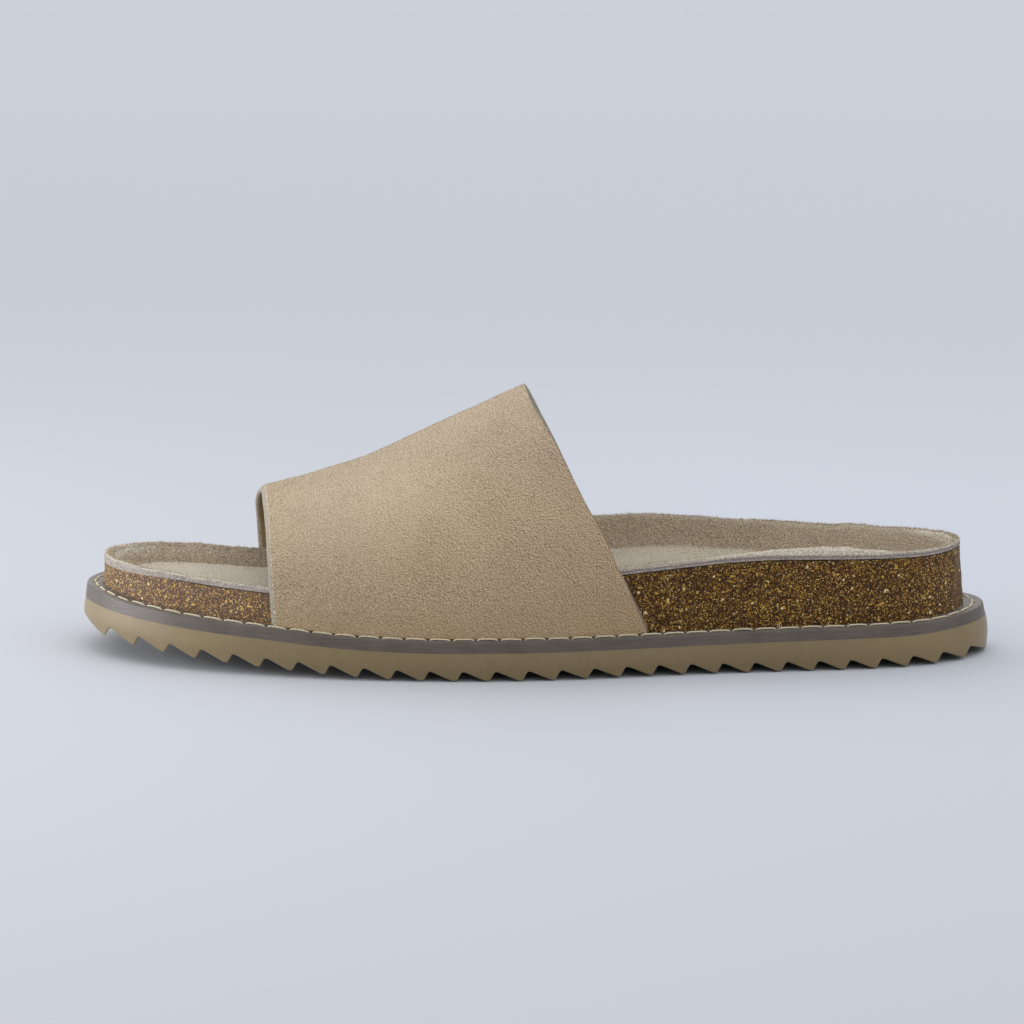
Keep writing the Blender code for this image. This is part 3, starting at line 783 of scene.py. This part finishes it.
def newGroup(name, inputs, outputs):
    # empty shader group with the named inputs (None means a vector) and outputs
    group = work["tree"] = bpy.data.node_groups.new(name, "ShaderNodeTree")
    for key, value in inputs.items():
        kind = "NodeSocketVector" if value is None else "NodeSocketFloat"
        socket = group.interface.new_socket(key, in_out="INPUT", socket_type=kind)
        if value is not None:
            socket.default_value = value
    for key in outputs:
        group.interface.new_socket(key, in_out="OUTPUT", socket_type="NodeSocketFloat")
    return group, group.nodes.new("NodeGroupInput").outputs, group.nodes.new("NodeGroupOutput").inputs


# brushed nap: the step from a tip's lit to its shaded side, a turn that hides the noise's own grid, weights
napLook = dict(shift=(0.00016, 0.00008, 0.00021), turn=(0.7, 0.5, 0.9), randomness=0.9,
               poresFrom=(0.95, 0.97), crown=0.45, tips=1.6, mottling=0.24)


def suedeNap():
    # rounded tufts, and tips lit on one side (noise less the same noise a step away), over broad mottling
    inputs = {"Vector": None, "Grain": 1700.0, "Mottle": 55.0, "Pores": 0.5}
    group, given, sent = newGroup("suedeNap", inputs, ("Shade", "Height"))
    vector, grain = given["Vector"], given["Grain"]
    pick, distance = cells(vector, grain, napLook["randomness"])
    crown = less(0.5, distance)
    turned = [put("VectorRotate", {"Vector": v, "Rotation": napLook["turn"]}, rotation_type="EULER_XYZ")
              for v in (vector, vectors("ADD", vector, napLook["shift"]))]
    fine, beside = (noise(made.outputs[0], grain, 1.0) for made in turned)
    broad = noise(vector, given["Mottle"], 2.0)
    sunk = times(ramp(pick[1], *napLook["poresFrom"]), given["Pores"])
    shade = less(0.5, sunk)
    for part, weight in ((crown, "crown"), (less(fine, beside), "tips"), (less(broad, 0.5), "mottling")):
        shade = plus(shade, times(part, napLook[weight]))
    link(plus(shade, 0.0, True), sent["Shade"])
    height = plus(times(less(crown, sunk), 0.5), times(fine, 0.5))
    link(plus(height, 0.25), sent["Height"])
    return group


def rubberSkin():
    # drawn streaks over soft mottling: their direction lies in the scale of the vector given
    inputs = {"Vector": None, "Streaks": None, "Mottle": 90.0}
    group, given, sent = newGroup("rubberSkin", inputs, ("Shade", "Height"))
    streak = noise(given["Streaks"], 1.0, 3.0, 0.65)
    blot = noise(given["Vector"], given["Mottle"], 3.0)
    dust = noise(given["Vector"], 2600.0, 1.0)
    total = maths("MULTIPLY_ADD", streak, 0.55, times(blot, 0.45))
    shade = maths("MULTIPLY_ADD", less(total, 0.5), 2.2, 0.5, True)
    link(shade, sent["Shade"])
    link(plus(times(streak, 0.7), times(dust, 0.3)), sent["Height"])
    return group


suede, skin = suedeNap(), rubberSkin()


def napped(place, look):
    inputs = {"Vector": place, "Grain": look["grain"], "Mottle": look["mottle"], "Pores": look["pores"]}
    return put("Group", inputs, node_tree=suede).outputs


def streaked(place, look):
    streaks = vectors("MULTIPLY", place, look["streaks"])
    inputs = {"Vector": place, "Streaks": streaks, "Mottle": look["mottle"]}
    return put("Group", inputs, node_tree=skin).outputs


def dress(name, made, look, paint):
    # one material on these pieces: paint gives its colour and its height, look the rest
    material = bpy.data.materials.new(name)
    material.use_nodes = True
    tree = work["tree"] = material.node_tree
    shader = tree.nodes["Principled BSDF"]
    settings = {"Roughness": look["roughness"], "Specular IOR Level": look.get("gloss", 0.2),
                "Sheen Weight": look.get("sheen", 0.0), "Sheen Roughness": 0.5}
    for key, value in settings.items():
        shader.inputs[key].default_value = value
    for piece in made:
        piece.data.materials.append(material)
    colour, height = paint(put("TexCoord").outputs["Object"], look)
    link(colour, shader.inputs["Base Color"])
    if height:
        bump = put("Bump", {"Strength": look["bump"], "Distance": look["depth"], "Height": height})
        link(bump.outputs["Normal"], shader.inputs["Normal"])


# strap colours (linear), grain and mottling per metre; painted light and shade by zone on the low flank,
# crest, front and rear
strapLook = dict(
    # foot: painted shade where the strap's wall meets the cork
    dark=(0.254, 0.180, 0.101), light=(0.691, 0.552, 0.383), foot=(0.36, 0.255, 0.145),
    lightAndShadeZones=((2, 0.05, 0.02, (0.94, 0.915, 0.885)), (2, 0.048, 0.064, (0.895, 0.91, 0.955)),
           (0, -0.035, -0.06, (0.92, 0.93, 0.96)), (0, -0.005, 0.02, (0.955, 0.93, 0.91))),
    # the paler far lining colour is painted light near the rear edge
    lining=(0.43, 0.315, 0.155), liningDark=0.6, litLining=(0.66, 0.62, 0.55),
    cut=(0.43, 0.385, 0.31), cutDark=0.55, fray=(0.76, 0.69, 0.57), shadedEdge=(0.20, 0.145, 0.085),
    # the pale patch is a painted pool of light high on the front of the near flank
    lightPoolTone=(0.66, 0.535, 0.405), lightPoolAt=(-0.055, -0.030, 0.050), lightPoolSize=(0.035, 0.005), lightPool=0.25,
    grain=2100.0, mottle=60.0, pores=0.15, bump=1.0, depth=0.0006, roughness=0.95, sheen=0.08,
)


def paintStrap(place, look):
    shade, height = napped(place, look)
    colour = tint(shade, look["dark"], look["light"])
    # a painted pool of light high on the front of the near flank
    lightPool = ramp(vectors("DISTANCE", place, look["lightPoolAt"]), *look["lightPoolSize"])
    colour = tint(times(lightPool, look["lightPool"]), colour, look["lightPoolTone"])
    # painted light and shade: the low flank warmer and darker, the crest cooler and darker, front and rear
    # darker
    colour = paintLightAndShade(colour, place, look["lightAndShadeZones"])
    # painted shade low on the strap's wall, darker towards the cork
    colour = tint(times(stored("foot"), 0.45), colour, look["foot"])
    lining = tint(shade, [look["liningDark"] * v for v in look["lining"]], look["lining"])
    # painted light on the lining near the far rear edge
    lining = tint(stored("litLining"), lining, look["litLining"])
    colour = tint(stored("inside"), colour, lining)
    cut = tint(shade, [look["cutDark"] * v for v in look["cut"]], look["cut"])
    edge = stored("cutEdge")
    colour = tint(ramp(edge, 0.25, 0.6), colour, cut)
    fray = times(ramp(edge, 0.02, 0.2), ramp(edge, 0.5, 0.25))
    colour = tint(times(fray, ramp(shade, 0.35, 0.65)), colour, look["fray"])
    return tint(times(stored("darkEdge"), 0.9), colour, look["shadedEdge"]), height


# insole colours: the bed, the fuzzier wall with painted shade, the rim's painted highlight and the cut edge's
# layers
insoleLook = dict(
    bedDark=(0.40, 0.35, 0.27), bedLight=(0.715, 0.645, 0.52), wallDark=(0.105, 0.072, 0.040),
    wallLight=(0.655, 0.52, 0.357), heelWall=(0.43, 0.355, 0.255), heelFrom=(0.06, 0.11), heel=0.35,
    # its zone is painted shade over the rear half, arch the strap's painted shadow just behind it
    lightAndShadeZones=((0, -0.03, 0.03, (0.885, 0.895, 0.885)),), arch=(0.84, 0.82, 0.80), rim=(0.69, 0.645, 0.55),
    edgeLow=(0.46, 0.40, 0.36), edgeLine=(0.24, 0.20, 0.185), edgeToe=(0.47, 0.42, 0.375),
    edgeTop=(0.56, 0.51, 0.445), edgeShade=(0.25, 0.21, 0.19), frayed=0.4,
    grain=1900.0, tufts=(1900.0, 1900.0, 1100.0), mottle=45.0, pores=0.3,
    bump=1.0, depth=0.0006, roughness=0.95, sheen=0.08,
)


def paintInsole(place, look):
    shade, height = napped(place, look)
    bedColour = tint(shade, look["bedDark"], look["bedLight"])
    tuft = noise(vectors("MULTIPLY", place, look["tufts"]), 1.0, 2.0)
    tuft = maths("MULTIPLY_ADD", less(tuft, 0.5), 0.9, shade, True)
    # the wall's suede is fuzzier, and its darker tones are painted shade
    wallColour = tint(tuft, look["wallDark"], look["wallLight"])
    x = axes(place)[0]
    heel = times(ramp(x, *look["heelFrom"]), look["heel"])
    wallColour = tint(heel, wallColour, look["heelWall"])
    colour = paintLightAndShade(tint(stored("wall"), bedColour, wallColour), place, look["lightAndShadeZones"])
    # painted shadow of the strap on the bed and wall just behind it
    arch = times(ramp(x, -0.02, 0.02), ramp(x, 0.10, 0.05))
    colour = tint(arch, colour, look["arch"], "MULTIPLY")
    # painted highlight along the rim
    colour = tint(times(stored("rim"), ramp(shade, -0.3, 0.6)), colour, look["rim"])
    # three layers show in the cut edge, with frayed limits
    layer = plus(stored("layer"), times(less(height, 0.5), look["frayed"]))
    line = tint(ramp(x, -0.07, 0.01), look["edgeToe"], look["edgeLine"])
    edge = tint(ramp(layer, 0.30, 0.42), look["edgeLow"], line)
    edge = tint(ramp(layer, 0.58, 0.7), edge, look["edgeTop"])
    edge = tint(less(1.0, shade, True), edge, look["edgeShade"])
    return tint(ramp(layer, 0.86, 1.0), edge, colour), height


fibreLook = dict(dark=(0.16, 0.112, 0.062), light=(0.63, 0.51, 0.36), grain=1500.0,
                 roughness=0.95, bump=0.2, depth=0.0001)


def paintFibres(place, look):
    grain = noise(place, look["grain"], 1.0)
    mixed = plus(stored("tone"), times(less(grain, 0.5), 0.5), True)
    return tint(mixed, look["dark"], look["light"]), grain


# cork chips in tones from binder to cream, rarest last, each from its stop on; sizes are chips per metre
corkLook = dict(
    tones=((0.0, (0.026, 0.011, 0.004)), (0.36, (0.060, 0.025, 0.007)), (0.66, (0.125, 0.052, 0.010)),
           (0.86, (0.24, 0.115, 0.017)), (0.955, (0.48, 0.285, 0.05))),
    fleckTones=((0.0, (0.24, 0.12, 0.018)), (0.45, (0.48, 0.29, 0.055)), (0.85, (0.74, 0.60, 0.31))),
    gold=(0.60, 0.385, 0.08), goldFrom=(0.93, 0.94), cream=(0.74, 0.60, 0.31), creamFrom=(0.978, 0.982),
    large=2600.0, small=4100.0, flecks=1500.0, drift=900.0, warp=0.0006,
    # painted light at the toe: brighter, and dust is the share of a painted sheen mixed in there
    lightAndShadeZones=((0, -0.045, -0.085, (1.3, 1.3, 1.33)),), toeSheenTone=(0.42, 0.33, 0.29), dustFrom=(-0.045, -0.085),
    dust=0.16, bump=0.7, depth=0.0004, roughness=0.6, gloss=0.15, sheen=0.065,
)


def steps(value, tones):
    # one flat colour from each stop up to the next
    made = put("ValToRGB", {0: value})
    made.color_ramp.interpolation = "CONSTANT"
    while len(made.color_ramp.elements) < len(tones):
        made.color_ramp.elements.new(1.0)
    for stop, (place, colour) in zip(made.color_ramp.elements, tones):
        stop.position, stop.color = place, (*colour, 1.0)
    return made.outputs[0]


def paintCork(place, look):
    drift = vectors("SUBTRACT", noise(place, look["drift"], 2.0, output=1), (0.5, 0.5, 0.5))
    warped = vectors("ADD", vectors("MULTIPLY", drift, (look["warp"],) * 3), place)
    large, small, flecks = (cells(warped, look[size])[0] for size in ("large", "small", "flecks"))
    colour = steps(large[0], look["tones"])
    colour = tint(ramp(small[1], 0.55, 0.6), colour, steps(small[0], look["tones"]))
    colour = tint(ramp(flecks[0], 0.96, 0.97), colour, steps(flecks[1], look["fleckTones"]))
    for tone in ("gold", "cream"):
        colour = tint(ramp(small[2], *look[tone + "From"]), colour, look[tone])
    # painted light at the toe: brighter, with a painted sheen mixed in
    colour = paintLightAndShade(colour, place, look["lightAndShadeZones"])
    dust = times(ramp(axes(place)[0], *look["dustFrom"]), look["dust"])
    height = plus(times(large[1], 0.6), times(small[0], 0.4))
    return tint(dust, colour, look["toeSheenTone"]), height


# midsole: lengthwise sanding streaks, with painted shade in the stitch holes
runnerLook = dict(
    dark=(0.052, 0.040, 0.032), light=(0.117, 0.094, 0.078), hole=(0.04, 0.030, 0.022),
    streaks=(150.0, 150.0, 2600.0), mottle=130.0,
    bump=0.5, depth=0.0003, roughness=0.5, gloss=0.45, sheen=0.12,
)


def paintMidsole(place, look):
    shade, height = streaked(place, look)
    colour = tint(shade, look["dark"], look["light"])
    # painted shade in the stitch holes
    return tint(ramp(stored("hole"), 0.12, 0.6), colour, look["hole"]), height


# outsole: faint upright striations and soft mottling in tan rubber, painted paler at the toe and at the heel
# as painted light
outsoleLook = dict(
    dark=(0.157, 0.114, 0.0535), light=(0.195, 0.144, 0.0695),
    lightAndShadeZones=((0, 0.07, 0.11, (1.13, 1.12, 1.10)), (0, -0.07, -0.11, (1.13, 1.12, 1.10))),
    streaks=(1500.0, 1500.0, 260.0), mottle=160.0,
    bump=0.2, depth=0.0003, roughness=0.55, gloss=0.4, sheen=0.2,
)


def paintOutsole(place, look):
    shade, height = streaked(place, look)
    return paintLightAndShade(tint(shade, look["dark"], look["light"]), place, look["lightAndShadeZones"]), height


threadLook = dict(dark=(0.47, 0.40, 0.28), light=(0.71, 0.64, 0.48), fuzz=3000.0,
                  roughness=0.8, bump=0.6, depth=0.0002)


def paintThread(place, look):
    # plies show as stripes that wind round the thread
    wave = maths("SINE", times(stored("twist"), 2 * math.pi))
    ply = maths("MULTIPLY_ADD", wave, 0.5, 0.5)
    fuzz = times(noise(place, look["fuzz"], 2.0), 0.5)
    mixed = plus(times(ply, 0.6), fuzz, True)
    return tint(mixed, look["dark"], look["light"]), mixed


insoleMade, insoleGrid, insoleNormal, insoleWall = makeInsole()
corkMade = makeCork()
midsoleMade = makeMidsole()
stitchesMade = makeStitches()
outsoleMade = makeOutsole()
strapMade, strapGrid = makeStrap()
insoleFibres = makeInsoleFibres(insoleGrid, insoleNormal, insoleWall)
strapFibres = makeStrapFibres(strapGrid)
print("shapes done")

dress("sandSuede", [strapMade], strapLook, paintStrap)
dress("footbedSuede", [insoleMade], insoleLook, paintInsole)
dress("suedeFibre", [insoleFibres, strapFibres], fibreLook, paintFibres)
dress("groundCork", [corkMade], corkLook, paintCork)
dress("greyRunner", [midsoleMade], runnerLook, paintMidsole)
dress("tanRubber", [outsoleMade], outsoleLook, paintOutsole)
dress("creamThread", [stitchesMade], threadLook, paintThread)
print("materials done")

# studio: pale floor, soft light from overhead, the camera's side, the heel and behind (strength, power,
# direction), and a softbox beyond the toe
floorLook = dict(
    floor=(0.527, 0.550, 0.604), far=(0.548, 0.590, 0.654), near=(0.496, 0.517, 0.572),
    # painted light on the floor beside the heel, over the softbox's shadow
    shadowLift=(1.03, 1.055, 1.075), middle=(-0.25, 0.1, 0.0), radius=200.0, height=-0.00015,
    rings=24, spokes=96, roughness=1.0, gloss=0.0,
)
sky = dict(
    backdrop=(0.590, 0.638, 0.706), ambient=0.05,
    lobes=((0.20, 1.4, (0.0, 0.1, 1.0)), (0.94, 2.3, (0.05, -0.75, 0.6)),
           (1.0, 4.0, (0.85, -0.35, 0.45)), (1.9, 3.5, (-0.2, 0.72, 0.66))),
)
softbox = dict(energy=7.8, at=(-0.89, -0.02, 0.12), aim=(-0.06, 0.0, 0.02), size=(0.5, 0.36))
photo = dict(lens=117.66, sensor=36.0, at=(-0.03605, -0.98281, 0.18804), turn=(81.5, 0.0, -1.72),
             clip=(0.01, 1000.0))


def paintFloor(place, look):
    x, y, _ = axes(place)
    away = maths("POWER", vectors("DISTANCE", place, look["middle"]), 0.35)
    colour = tint(ramp(away, 0.5, 2.3), look["floor"], look["far"])
    colour = tint(ramp(y, -0.1, -0.5), colour, look["near"])
    # painted light: the floor beside and behind the heel painted brighter and cooler over the softbox's
    # shadow
    behind = times(ramp(x, -0.05, 0.1), ramp(y, -0.1, 0.02))
    behind = times(behind, ramp(y, 0.9, 0.25))
    return tint(behind, colour, look["shadowLift"], "MULTIPLY"), None


def makeFloor():
    # flat disc from rings of points round the origin
    rings, spokes = floorLook["rings"], floorLook["spokes"]
    radius = column(np.linspace(0.01, 1, rings) ** 4 * floorLook["radius"])
    angle = np.arange(spokes) / spokes * 2 * np.pi
    flat = np.full((rings, spokes), floorLook["height"])
    grid = np.dstack([radius * np.cos(angle), radius * np.sin(angle), flat])
    faces = gridQuads(rings, spokes, closeCols=True)[:, ::-1].tolist() + [list(range(spokes))]
    mesh = bpy.data.meshes.new("studioFloor")
    mesh.from_pydata(grid.reshape(-1, 3).tolist(), [], faces)
    floor = newObject("studioFloor", mesh)
    dress("paleFloor", [floor], floorLook, paintFloor)


def makeSky():
    # light from each direction falls off with a power of the cosine; the camera sees a plain backdrop
    world = bpy.data.worlds.new("studioSky")
    bpy.context.scene.world = world
    world.use_nodes = True
    tree = work["tree"] = world.node_tree
    way = put("TexCoord").outputs["Generated"]
    light = sky["ambient"]
    for strength, power, direction in sky["lobes"]:
        size = math.sqrt(sum(v * v for v in direction))
        facing = vectors("DOT_PRODUCT", way, [v / size for v in direction])
        lobe = maths("POWER", maths("MAXIMUM", facing, 0.0), power)
        light = plus(times(lobe, strength), light)
    soft = tree.nodes["Background"]
    link(light, soft.inputs["Strength"])
    soft.inputs["Color"].default_value = (1.0, 1.0, 1.0, 1.0)
    plain = put("Background", {"Color": (*sky["backdrop"], 1.0)})
    straight = put("LightPath").outputs["Is Camera Ray"]
    seen = put("MixShader", {0: straight, 1: soft.outputs[0], 2: plain.outputs[0]})
    link(seen.outputs[0], tree.nodes["World Output"].inputs["Surface"])


def makeSoftbox():
    data = bpy.data.lights.new("toeSoftbox", "AREA")
    data.shape, data.energy = "RECTANGLE", softbox["energy"]
    data.size, data.size_y = softbox["size"]
    made = newObject("toeSoftbox", data)
    made.location = softbox["at"]
    made.rotation_euler = (Vector(softbox["aim"]) - made.location).to_track_quat("-Z", "Y").to_euler()


def makeCamera():
    data = bpy.data.cameras.new("photoCamera")
    data.lens, data.sensor_width = photo["lens"], photo["sensor"]
    data.clip_start, data.clip_end = photo["clip"]
    camera = newObject("photoCamera", data)
    camera.location = photo["at"]
    camera.rotation_euler = [math.radians(v) for v in photo["turn"]]
    bpy.context.scene.camera = camera


makeFloor()
makeSky()
makeSoftbox()
makeCamera()
bpy.context.scene.view_settings.view_transform = "Standard"
print("studio done")
